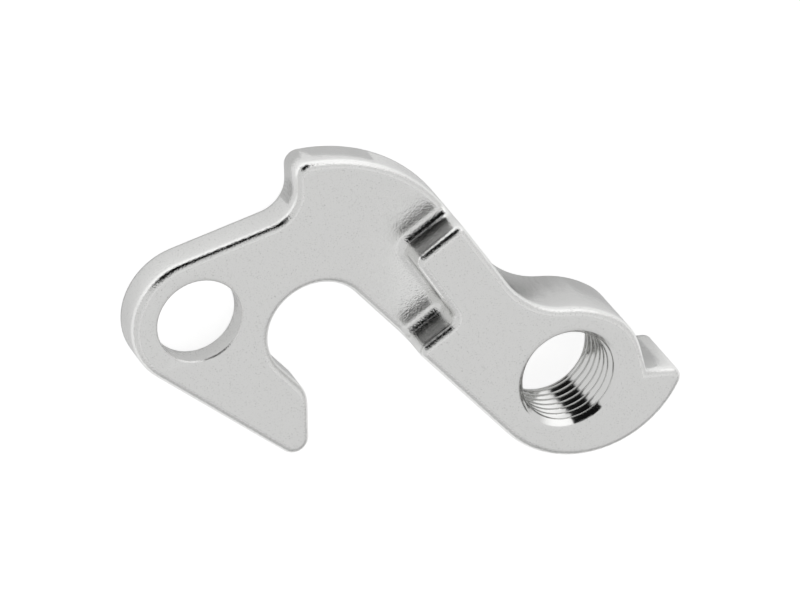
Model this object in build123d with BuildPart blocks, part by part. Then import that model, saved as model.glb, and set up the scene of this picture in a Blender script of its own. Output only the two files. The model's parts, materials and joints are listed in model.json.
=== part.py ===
from build123d import *
import math
import os

# All sizes are in millimetres. Plan: X runs from the frame bolt eye to the
# threaded hole, Y towards the tall shoulder, Z out of the flat back face.
# The origin is the threaded hole's axis on the back face.

# thickness
full_thickness = 7.4
plate_thickness = 3.6

# derailleur thread M10 x 1, modelled as its drilled core
thread_nominal_radius = 5.0
thread_pitch = 1.0
thread_depth_per_pitch = 0.5413
thread_mouth_clearance = 0.15
thread_back_break = 0.35
thread_core_radius = thread_nominal_radius - thread_depth_per_pitch * thread_pitch
thread_mouth_radius = thread_nominal_radius + thread_mouth_clearance

# frame bolt eye
eye_center = (-37.15, -0.2)
eye_radius = 6.6
bolt_center = (-37.25, 0)
bolt_radius = 4.15
bolt_wall = 2.2
bolt_rim_break = 0.15

# axle slot, open towards +X -Y, its upper side running on into the outer sweep
axle_radius = 5.0
slot_center = (-24.92, 0.24)

# hook under the slot
hook_inner_length = 4.05
hook_corner_radius = 3.5
hook_tip_radius = 1.5
hook_lower_angle = -22.4
hook_lower_length = 19.6

# shoulder above the eye
shoulder_slope_angle = 31.3
neck_corner = (-30.56, 11.53)
neck_radius = 3.2
shoulder_corner_radius = 1.3
shoulder_arc_center = (-25.83, 1.6)
shoulder_arc_radius = 16.1
shoulder_arc_start = 113.4
shoulder_arc_end = 50.8

# edge from the shoulder to the thread boss
flank_length = 13.05
waist_radius = 8.1
crest_radius = 10.67
crest_corner = (5.79, 5.4)
crest_corner_radius = 6.5

# stop tab and outer sweep
tab_root = (8.05, 1.65)
tab_corner_radius = 1.2
sweep_center = (1.4, 2.44)
sweep_radius = 10.65
sweep_end = 0.6

# step between plate and raised part
step_wall_angle = 50.0
step_upper_corner = (-19.46, 9.89)
step_lower_corner = (-13.17, 4.55)
step_upper_corner_radius = 0.9
step_lower_corner_radius = 1.0
step_foot_radius = 1.0
front_edge_radius = 0.75

beyond = 30.0
just_beyond = 6.0
tolerance = 0.001

eye = Vector(*eye_center)
slot = Vector(*slot_center)
shoulder_arc = Vector(*shoulder_arc_center)
sweep = Vector(*sweep_center)

# the slot's upper side touches the slot's round end and the outer sweep
slot_to_sweep = sweep - slot
slot_lean = math.asin((axle_radius + sweep_radius) / slot_to_sweep.length)
slot_angle = math.degrees(math.atan2(slot_to_sweep.Y, slot_to_sweep.X) - slot_lean)


def at_angle(center, radius, angle):
    return center + Vector(radius, 0).rotate(Axis.Z, angle)


slope_start = at_angle(eye, eye_radius, shoulder_slope_angle + 90)
lower_start = at_angle(eye, eye_radius, hook_lower_angle - 90)
slot_upper = at_angle(slot, axle_radius, slot_angle + 90)
slot_lower = at_angle(slot, axle_radius, slot_angle - 90)
shoulder_corner = at_angle(shoulder_arc, shoulder_arc_radius, shoulder_arc_start)
flank_start = at_angle(shoulder_arc, shoulder_arc_radius, shoulder_arc_end)
flank_end = at_angle(flank_start, flank_length, shoulder_arc_end - 90)
hook_corner = at_angle(slot_lower, hook_inner_length, slot_angle)
hook_tip = at_angle(lower_start, hook_lower_length, hook_lower_angle)
sweep_start = at_angle(sweep, sweep_radius, slot_angle - 90)
sweep_turn = sweep_end + 90 - slot_angle
tab_tip = at_angle(sweep, sweep_radius, sweep_end)
eye_wrap = 180 + hook_lower_angle - shoulder_slope_angle

with BuildSketch() as outline:
    with BuildLine() as border:
        CenterArc(eye, eye_radius, shoulder_slope_angle + 90, eye_wrap)
        Line(lower_start, hook_tip)
        Line(hook_tip, hook_corner)
        Line(hook_corner, slot_lower)
        CenterArc(slot, axle_radius, slot_angle - 90, -180)
        Line(slot_upper, sweep_start)
        CenterArc(sweep, sweep_radius, slot_angle - 90, sweep_turn)
        Line(tab_tip, tab_root)
        Line(tab_root, crest_corner)
        RadiusArc(crest_corner, flank_end, -crest_radius)
        Line(flank_end, flank_start)
        CenterArc(
            shoulder_arc,
            shoulder_arc_radius,
            shoulder_arc_end,
            shoulder_arc_start - shoulder_arc_end,
        )
        Line(shoulder_corner, neck_corner)
        Line(neck_corner, slope_start)
    make_face()
    for corner, radius in (
        (hook_tip, hook_tip_radius),
        (hook_corner, hook_corner_radius),
        (tab_tip, tab_corner_radius),
        (Vector(*crest_corner), crest_corner_radius),
        (flank_end, waist_radius),
        (shoulder_corner, shoulder_corner_radius),
        (Vector(*neck_corner), neck_radius),
    ):
        fillet(outline.vertices().sort_by_distance(corner)[:1], radius)

upper_corner = Vector(*step_upper_corner)
lower_corner = Vector(*step_lower_corner)
with BuildSketch() as raised:
    with BuildLine():
        Polyline(
            upper_corner,
            lower_corner,
            at_angle(lower_corner, just_beyond, step_wall_angle + 180),
            lower_corner + Vector(beyond, -beyond),
            lower_corner + Vector(beyond, beyond),
            at_angle(upper_corner, beyond, step_wall_angle),
            close=True,
        )
    make_face()
    for corner, radius in (
        (upper_corner, step_upper_corner_radius),
        (lower_corner, step_lower_corner_radius),
    ):
        fillet(raised.vertices().sort_by_distance(corner)[:1], radius)
    add(outline.sketch, mode=Mode.INTERSECT)

border_wire = outline.face().outer_wire()


def on_border(edge):
    middle = edge @ 0.5
    return border_wire.distance_to(Vector(middle.X, middle.Y)) < tolerance


def level_edges(part, height):
    low, high = height - tolerance, height + tolerance
    return part.edges().filter_by(
        lambda edge: edge.bounding_box().min.Z > low and edge.bounding_box().max.Z < high
    )


def hole_rim(part, radius, height):
    circles = level_edges(part, height).filter_by(GeomType.CIRCLE)
    return [edge for edge in circles if abs(edge.radius - radius) < tolerance]


with BuildPart() as hanger:
    add(outline.sketch)
    extrude(amount=plate_thickness)
    add(raised.sketch)
    extrude(amount=full_thickness)

    # the step's foot, between the plate's face and the raised walls
    at_plate = level_edges(hanger, plate_thickness)
    fillet([edge for edge in at_plate if not on_border(edge)], step_foot_radius)

    # the plate's front edge, which climbs the step at both ends
    above = hanger.edges().filter_by(
        lambda edge: edge.bounding_box().min.Z > plate_thickness - tolerance
        and edge.bounding_box().min.Z < full_thickness - tolerance
    )
    fillet([edge for edge in above if on_border(edge)], front_edge_radius)

    # the raised part's front edge, the step's top included
    fillet(level_edges(hanger, full_thickness), front_edge_radius)

    # hole for the derailleur thread, a cone at its front mouth
    with Locations((0, 0, full_thickness)):
        Hole(thread_core_radius)
    chamfer(
        hole_rim(hanger, thread_core_radius, full_thickness),
        thread_mouth_radius - thread_core_radius,
    )
    chamfer(hole_rim(hanger, thread_core_radius, 0), thread_back_break)

    # hole for the frame bolt, opened from the back for its head
    with Locations((*bolt_center, plate_thickness)):
        Hole(bolt_radius)
    chamfer(hole_rim(hanger, bolt_radius, 0), plate_thickness - bolt_wall)
    fillet(hole_rim(hanger, bolt_radius, plate_thickness), bolt_rim_break)

os.makedirs("parts", exist_ok=True)
hanger.part.label = "hanger"
export_step(hanger.part, "parts/hanger.step")
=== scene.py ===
import json
import math

import bmesh
import bpy
from mathutils import Matrix, Vector


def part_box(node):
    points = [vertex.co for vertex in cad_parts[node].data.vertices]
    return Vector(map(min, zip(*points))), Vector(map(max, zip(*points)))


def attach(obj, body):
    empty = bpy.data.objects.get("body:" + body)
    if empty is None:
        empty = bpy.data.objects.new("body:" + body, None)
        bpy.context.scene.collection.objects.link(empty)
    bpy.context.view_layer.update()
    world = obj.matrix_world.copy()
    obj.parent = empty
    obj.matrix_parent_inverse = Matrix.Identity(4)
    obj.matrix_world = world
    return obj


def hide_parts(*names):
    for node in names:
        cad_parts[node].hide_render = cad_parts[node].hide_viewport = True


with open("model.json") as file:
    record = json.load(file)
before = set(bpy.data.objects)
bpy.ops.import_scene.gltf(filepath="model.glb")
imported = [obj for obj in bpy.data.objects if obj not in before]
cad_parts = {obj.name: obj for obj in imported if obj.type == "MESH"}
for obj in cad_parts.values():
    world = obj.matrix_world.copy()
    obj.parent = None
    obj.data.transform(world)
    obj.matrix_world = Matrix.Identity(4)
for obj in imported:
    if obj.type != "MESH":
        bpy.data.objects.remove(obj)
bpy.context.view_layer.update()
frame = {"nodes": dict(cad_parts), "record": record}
scene = bpy.context.scene
MM = 0.001

# The camera of the photograph, in the part's frame: far away, with a long
# lens, looking down on the front from the side of the bolt eye.
CAMERA_PLACE = Vector((-279.163, 211.549, 491.410)) * MM
CAMERA_RIGHT = Vector((0.89099, 0.27704, 0.35970))
CAMERA_FORWARD = Vector((0.44227, -0.35048, -0.82557))
CAMERA_FOCAL_PIXELS = 6300
PHOTO_WIDTH_PIXELS = 800
SENSOR_WIDTH_MM = 36
CAMERA_CLIP_START = 10 * MM
CAMERA_CLIP_END = 20000 * MM

# Thread of the derailleur hole, M10 x 1, right-handed. Shares are of one pitch,
# going up: the crest, the long flank that faces the front, the root.
THREAD_MAJOR_RADIUS = 5.0 * MM
THREAD_PITCH = 1.0 * MM
THREAD_CREST_SHARE = 0.12
THREAD_FLANK_SHARE = 0.47
THREAD_ROOT_SHARE = 0.08
THREAD_STEPS_PER_TURN = 160
THREAD_STEPS_PER_PITCH = 24
WELD_DISTANCE = 1e-7
THREAD_MARGIN = 0.5 * MM
SHARP_ANGLE = math.radians(32)

# Both surfaces of the metal, whose edges are rounded in the shading as if worn.
METAL_COLOUR = (0.85, 0.85, 0.84, 1)
WORN_SAMPLES = 8

# The outer surface: burnished on edges and in corners, part satin on open flat
# faces. Noise scales are per metre. Flat is counted by the normal's Z, open by
# the share of the sky that nothing within reach hides.
POLISHED_ROUGHNESS = 0.11
SATIN_ROUGHNESS = 0.5
SATIN_SHARE = 0.7
FLAT_START = 0.985
FLAT_FULL = 0.999
CORNER_REACH = 6 * MM
OPEN_START = 0.8
OPEN_FULL = 0.98
CORNER_SAMPLES = 8
GRAIN_SCALE = 6000
GRAIN_DETAIL = 1.5
GRAIN_DEPTH = 0.03 * MM
GRAIN_STRENGTH = 1.0
PIT_COLOUR = (0.45, 0.45, 0.44, 1)
PIT_SCALE = 9000
PIT_DETAIL = 2
PIT_START = 0.6
PIT_FULL = 0.8
WORN_EDGE_RADIUS = 0.6 * MM

# The thread's surface: cut, so bright, with little grain and less worn edges.
CUT_ROUGHNESS = 0.08
CHATTER_SCALE = 2500
CHATTER_DETAIL = 1
CHATTER_DEPTH = 0.02 * MM
CHATTER_STRENGTH = 0.2
THREAD_WORN_RADIUS = 0.3 * MM

# The floor's own grey, its glow to the eye, and its glow in the metal, dimmed
# close to the part as painted shade. Areas of painted reflection, bright or dark,
# seen only in the metal: x and y of the middle, inner and outer radius of the
# soft rim in millimetres, glow; each laid over the ones before.
FLOOR_HALF = 3000 * MM
FLOOR_COLOUR = (0.5, 0.5, 0.5, 1)
FLOOR_GLOW = 0.8
FLOOR_GLOW_IN_METAL = 0.62
FLOOR_PAINTED_REFLECTION_AREAS = (
    (-50, 38, 30, 42, 0.84),
    (-107, 108, 72, 92, 0.0),
)
# Painted shade: the floor's glow in the metal is dimmed where the part hides the floor, as a contact
# shadow.
FLOOR_PAINTED_SHADE_REACH = 8 * MM
FLOOR_PAINTED_SHADE_START = 0.75
FLOOR_PAINTED_SHADE_SHARE = 0.62

# The tent's even strength, and its areas: azimuth and elevation of the middle,
# inner and outer angle of the soft rim in degrees, strength; laid in order too.
TENT_STRENGTH = 0.7
TENT_AREAS = (
    (-30, 60, 15, 48, 0.8),
    (-50, 5, 12, 53, 0.42),
    (80, 2, 22, 46, 1.16),
    (126, 19, 29, 33, 0.006),
    (141.6, 55.7, 7, 11, 0.006),
)


def thread_radius(along, crest_radius):
    """Radius of the thread's profile, so many pitches up from the start of a crest."""
    share = along % 1.0
    flank_end = THREAD_CREST_SHARE + THREAD_FLANK_SHARE
    root_end = flank_end + THREAD_ROOT_SHARE
    if share <= THREAD_CREST_SHARE:
        depth = 0.0
    elif share <= flank_end:
        depth = (share - THREAD_CREST_SHARE) / THREAD_FLANK_SHARE
    elif share <= root_end:
        depth = 1.0
    else:
        depth = (1.0 - share) / (1.0 - root_end)
    return crest_radius + (THREAD_MAJOR_RADIUS - crest_radius) * depth


def mount(name):
    return next(m for m in frame["record"]["mounts"] if m["name"] == name)


def build_threaded_hanger(node):
    """A copy of the solid whose plain hole wall is cut away and threaded instead."""
    low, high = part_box(node)
    core_radius = mount("derailleur_thread")["dims"]["r_mm"] * MM
    bm = bmesh.new()
    bm.from_mesh(frame["nodes"][node].data)
    bmesh.ops.remove_doubles(bm, verts=bm.verts, dist=WELD_DISTANCE)
    # Only the hole's wall and its two cones lie wholly this near to the axis.
    reach = THREAD_MAJOR_RADIUS + THREAD_MARGIN
    inner = [f for f in bm.faces if all(v.co.xy.length < reach for v in f.verts)]
    bmesh.ops.delete(bm, geom=inner, context="FACES")
    rims = [e for e in bm.edges if e.is_boundary]
    rim_top = [e for e in rims if e.verts[0].co.z > (low.z + high.z) / 2]
    rim_bottom = [e for e in rims if e.verts[0].co.z <= (low.z + high.z) / 2]
    mouth_top = max(e.verts[0].co.xy.length for e in rim_top)
    mouth_bottom = max(e.verts[0].co.xy.length for e in rim_bottom)

    def mouth_radius(z):
        """Radius at this height of the wider of the two 45 degree cones."""
        front = mouth_top - (high.z - z)
        back = mouth_bottom - (z - low.z)
        return max(front, back)

    turns = math.ceil((high.z - low.z) / THREAD_PITCH) + 1
    rows = turns * THREAD_STEPS_PER_PITCH
    grid = []
    for i in range(THREAD_STEPS_PER_TURN):
        share = i / THREAD_STEPS_PER_TURN
        angle = 2 * math.pi * share
        column = []
        for j in range(rows + 1):
            along = j / THREAD_STEPS_PER_PITCH
            z = low.z + (along - 1 + share) * THREAD_PITCH
            radius = thread_radius(along, core_radius)
            z = min(max(z, low.z), high.z)
            radius = max(radius, mouth_radius(z))
            # What reaches past a face is drawn together on the rim of the hole.
            if z in (low.z, high.z):
                radius = mouth_radius(z)
            place = (radius * math.cos(angle), radius * math.sin(angle), z)
            column.append(bm.verts.new(place))
        grid.append(column)
    for i in range(THREAD_STEPS_PER_TURN):
        here = grid[i]
        # A whole turn on, the same column stands one pitch higher.
        last = i == THREAD_STEPS_PER_TURN - 1
        there = grid[0][THREAD_STEPS_PER_PITCH:] if last else grid[i + 1]
        for j in range(min(len(here), len(there)) - 1):
            corners = (here[j + 1], there[j + 1], there[j], here[j])
            bm.faces.new(corners).material_index = 1
    bmesh.ops.remove_doubles(bm, verts=[v for c in grid for v in c], dist=WELD_DISTANCE)
    mesh = bpy.data.meshes.new("hanger_threaded")
    bm.to_mesh(mesh)
    bm.free()
    mesh.polygons.foreach_set("use_smooth", [True] * len(mesh.polygons))
    mesh.set_sharp_from_angle(angle=SHARP_ANGLE)
    piece = bpy.data.objects.new("hanger_threaded", mesh)
    scene.collection.objects.link(piece)
    weighted = piece.modifiers.new("even_faces", "WEIGHTED_NORMAL")
    weighted.mode = "FACE_AREA"
    weighted.keep_sharp = True
    return piece


def new_material(name):
    """A material without nodes, with its nodes and links to fill."""
    material = bpy.data.materials.new(name)
    material.use_nodes = True
    nodes = material.node_tree.nodes
    nodes.clear()
    return material, nodes, material.node_tree.links


def product(nodes, links, first, second):
    node = nodes.new("ShaderNodeMath")
    node.operation = "MULTIPLY"
    links.new(first, node.inputs[0])
    links.new(second, node.inputs[1])
    return node.outputs["Value"]


def even_level(nodes, level):
    node = nodes.new("ShaderNodeValue")
    node.outputs["Value"].default_value = level
    return node.outputs["Value"]


def lay_area(nodes, links, level, measure, rim, area_level):
    """The level, replaced by the area's own where the measure passes its soft rim."""
    share = nodes.new("ShaderNodeMapRange")
    share.interpolation_type = "SMOOTHSTEP"
    share.inputs["From Min"].default_value = rim[0]
    share.inputs["From Max"].default_value = rim[1]
    links.new(measure, share.inputs["Value"])
    laid = nodes.new("ShaderNodeMix")
    laid.inputs["B"].default_value = area_level
    links.new(share.outputs["Result"], laid.inputs["Factor"])
    links.new(level, laid.inputs["A"])
    return laid.outputs["Result"]


def metal_shader(nodes, roughness):
    shader = nodes.new("ShaderNodeBsdfPrincipled")
    shader.inputs["Metallic"].default_value = 1.0
    shader.inputs["Roughness"].default_value = roughness
    return shader


def noise(nodes, links, scale, detail):
    """Noise in the piece's own space, between 0 and 1."""
    place = nodes.new("ShaderNodeTexCoord")
    texture = nodes.new("ShaderNodeTexNoise")
    texture.inputs["Scale"].default_value = scale
    texture.inputs["Detail"].default_value = detail
    links.new(place.outputs["Object"], texture.inputs["Vector"])
    return texture.outputs["Fac"]


def worn_and_rough(nodes, links, height, worn_radius, depth, strength):
    """A normal that is rounded at edges and roughened by the height."""
    worn = nodes.new("ShaderNodeBevel")
    worn.samples = WORN_SAMPLES
    worn.inputs["Radius"].default_value = worn_radius
    bump = nodes.new("ShaderNodeBump")
    bump.inputs["Strength"].default_value = strength
    bump.inputs["Distance"].default_value = depth
    links.new(height, bump.inputs["Height"])
    links.new(worn.outputs["Normal"], bump.inputs["Normal"])
    return bump.outputs["Normal"]


def open_flat_share(nodes, links):
    """How far the surface is flat, facing up and clear of inner corners, up to the satin share."""
    surface = nodes.new("ShaderNodeNewGeometry")
    facing = nodes.new("ShaderNodeSeparateXYZ")
    links.new(surface.outputs["True Normal"], facing.inputs["Vector"])
    flatness = nodes.new("ShaderNodeMapRange")
    flatness.inputs["From Min"].default_value = FLAT_START
    flatness.inputs["From Max"].default_value = FLAT_FULL
    links.new(facing.outputs["Z"], flatness.inputs["Value"])
    corner = nodes.new("ShaderNodeAmbientOcclusion")
    corner.samples = CORNER_SAMPLES
    corner.inputs["Distance"].default_value = CORNER_REACH
    openness = nodes.new("ShaderNodeMapRange")
    openness.inputs["From Min"].default_value = OPEN_START
    openness.inputs["From Max"].default_value = OPEN_FULL
    openness.inputs["To Max"].default_value = SATIN_SHARE
    links.new(corner.outputs["AO"], openness.inputs["Value"])
    return product(nodes, links, flatness.outputs["Result"], openness.outputs["Result"])


def satin_aluminium():
    material, nodes, links = new_material("satin_aluminium")
    output = nodes.new("ShaderNodeOutputMaterial")
    blend = nodes.new("ShaderNodeMixShader")
    links.new(blend.outputs["Shader"], output.inputs["Surface"])
    polished = metal_shader(nodes, POLISHED_ROUGHNESS)
    links.new(polished.outputs["BSDF"], blend.inputs[1])
    satin = metal_shader(nodes, SATIN_ROUGHNESS)
    links.new(satin.outputs["BSDF"], blend.inputs[2])
    links.new(open_flat_share(nodes, links), blend.inputs["Fac"])
    grain = noise(nodes, links, GRAIN_SCALE, GRAIN_DETAIL)
    normal = worn_and_rough(nodes, links, grain, WORN_EDGE_RADIUS, GRAIN_DEPTH, GRAIN_STRENGTH)
    links.new(normal, polished.inputs["Normal"])
    depth = nodes.new("ShaderNodeMapRange")
    depth.inputs["From Min"].default_value = PIT_START
    depth.inputs["From Max"].default_value = PIT_FULL
    links.new(noise(nodes, links, PIT_SCALE, PIT_DETAIL), depth.inputs["Value"])
    tone = nodes.new("ShaderNodeMix")
    tone.data_type = "RGBA"
    tone.inputs["A"].default_value = METAL_COLOUR
    tone.inputs["B"].default_value = PIT_COLOUR
    links.new(depth.outputs["Result"], tone.inputs["Factor"])
    links.new(tone.outputs["Result"], polished.inputs["Base Color"])
    links.new(tone.outputs["Result"], satin.inputs["Base Color"])
    return material


def cut_aluminium():
    material, nodes, links = new_material("cut_aluminium")
    output = nodes.new("ShaderNodeOutputMaterial")
    shader = metal_shader(nodes, CUT_ROUGHNESS)
    shader.inputs["Base Color"].default_value = METAL_COLOUR
    links.new(shader.outputs["BSDF"], output.inputs["Surface"])
    chatter = noise(nodes, links, CHATTER_SCALE, CHATTER_DETAIL)
    normal = worn_and_rough(nodes, links, chatter, THREAD_WORN_RADIUS, CHATTER_DEPTH, CHATTER_STRENGTH)
    links.new(normal, shader.inputs["Normal"])
    return material


def glow_with_painted_reflection_in_metal(nodes, links):
    """The floor's glow in reflections: its areas of painted reflection, and painted shade that weakens
    it where the part is near.
    """
    place = nodes.new("ShaderNodeTexCoord")
    level = even_level(nodes, FLOOR_GLOW_IN_METAL)
    # Painted reflections: bright and dark patches of glow on the floor that only glossy rays see.
    for x, y, inner, outer, painted_area_glow in FLOOR_PAINTED_REFLECTION_AREAS:
        away = nodes.new("ShaderNodeVectorMath")
        away.operation = "DISTANCE"
        away.inputs[1].default_value = (x * MM, y * MM, 0)
        links.new(place.outputs["Object"], away.inputs[0])
        rim = (outer * MM, inner * MM)
        level = lay_area(nodes, links, level, away.outputs["Value"], rim, painted_area_glow)
    # Painted shade: less glow in the metal where the part is near, by ambient occlusion.
    painted_shade_nearness = nodes.new("ShaderNodeAmbientOcclusion")
    painted_shade_nearness.inputs["Distance"].default_value = FLOOR_PAINTED_SHADE_REACH
    painted_shade_dimming = nodes.new("ShaderNodeMapRange")
    painted_shade_dimming.interpolation_type = "SMOOTHSTEP"
    painted_shade_dimming.inputs["From Min"].default_value = FLOOR_PAINTED_SHADE_START
    painted_shade_dimming.inputs["To Min"].default_value = FLOOR_PAINTED_SHADE_SHARE
    links.new(painted_shade_nearness.outputs["AO"], painted_shade_dimming.inputs["Value"])
    return product(nodes, links, level, painted_shade_dimming.outputs["Result"])


def pale_floor():
    """A floor that the tent lights plainly, whitened by a glow that only the eye and the metal see;
    the metal's glow holds painted reflections and painted shade.
    """
    bm = bmesh.new()
    bmesh.ops.create_grid(bm, x_segments=1, y_segments=1, size=FLOOR_HALF)
    mesh = bpy.data.meshes.new("floor")
    bm.to_mesh(mesh)
    bm.free()
    floor = bpy.data.objects.new("floor", mesh)
    scene.collection.objects.link(floor)
    material, nodes, links = new_material("pale_floor")
    mesh.materials.append(material)
    output = nodes.new("ShaderNodeOutputMaterial")
    total = nodes.new("ShaderNodeAddShader")
    links.new(total.outputs["Shader"], output.inputs["Surface"])
    diffuse = nodes.new("ShaderNodeBsdfDiffuse")
    diffuse.inputs["Color"].default_value = FLOOR_COLOUR
    links.new(diffuse.outputs["BSDF"], total.inputs[0])
    glow = nodes.new("ShaderNodeEmission")
    links.new(glow.outputs["Emission"], total.inputs[1])
    ray = nodes.new("ShaderNodeLightPath")
    seen = nodes.new("ShaderNodeMath")
    seen.operation = "MAXIMUM"
    links.new(ray.outputs["Is Camera Ray"], seen.inputs[0])
    links.new(ray.outputs["Is Transmission Ray"], seen.inputs[1])
    direct = product(nodes, links, seen.outputs["Value"], even_level(nodes, FLOOR_GLOW))
    mirrored_painted_glow = product(nodes, links, ray.outputs["Is Glossy Ray"], glow_with_painted_reflection_in_metal(nodes, links))
    both = nodes.new("ShaderNodeMath")
    both.operation = "ADD"
    links.new(direct, both.inputs[0])
    links.new(mirrored_painted_glow, both.inputs[1])
    links.new(both.outputs["Value"], glow.inputs["Strength"])


def direction(azimuth, elevation):
    turn = math.radians(azimuth)
    rise = math.radians(elevation)
    return (math.cos(turn) * math.cos(rise), math.sin(turn) * math.cos(rise), math.sin(rise))


def studio_world():
    """An even pale tent with a few soft round areas."""
    world = bpy.data.worlds.new("studio")
    world.use_nodes = True
    scene.world = world
    nodes = world.node_tree.nodes
    links = world.node_tree.links
    nodes.clear()
    output = nodes.new("ShaderNodeOutputWorld")
    background = nodes.new("ShaderNodeBackground")
    background.inputs["Color"].default_value = (1, 1, 1, 1)
    links.new(background.outputs["Background"], output.inputs["Surface"])
    way = nodes.new("ShaderNodeTexCoord")
    level = even_level(nodes, TENT_STRENGTH)
    for azimuth, elevation, inner, outer, area_strength in TENT_AREAS:
        toward = nodes.new("ShaderNodeVectorMath")
        toward.operation = "DOT_PRODUCT"
        toward.inputs[1].default_value = direction(azimuth, elevation)
        links.new(way.outputs["Generated"], toward.inputs[0])
        rim = (math.cos(math.radians(outer)), math.cos(math.radians(inner)))
        level = lay_area(nodes, links, level, toward.outputs["Value"], rim, area_strength)
    links.new(level, background.inputs["Strength"])


def photograph_camera():
    data = bpy.data.cameras.new("camera")
    data.sensor_width = SENSOR_WIDTH_MM
    data.lens = CAMERA_FOCAL_PIXELS * SENSOR_WIDTH_MM / PHOTO_WIDTH_PIXELS
    data.clip_start = CAMERA_CLIP_START
    data.clip_end = CAMERA_CLIP_END
    camera = bpy.data.objects.new("camera", data)
    scene.collection.objects.link(camera)
    back = -CAMERA_FORWARD.normalized()
    right = (CAMERA_RIGHT - CAMERA_RIGHT.dot(back) * back).normalized()
    up = back.cross(right)
    turn = Matrix((right, up, back)).transposed().to_4x4()
    camera.matrix_world = Matrix.Translation(CAMERA_PLACE) @ turn
    scene.camera = camera


hanger = build_threaded_hanger("hanger")
hanger.data.materials.append(satin_aluminium())
hanger.data.materials.append(cut_aluminium())
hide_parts("hanger")
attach(hanger, "root")

pale_floor()
studio_world()
photograph_camera()
scene.view_settings.view_transform = "Standard"
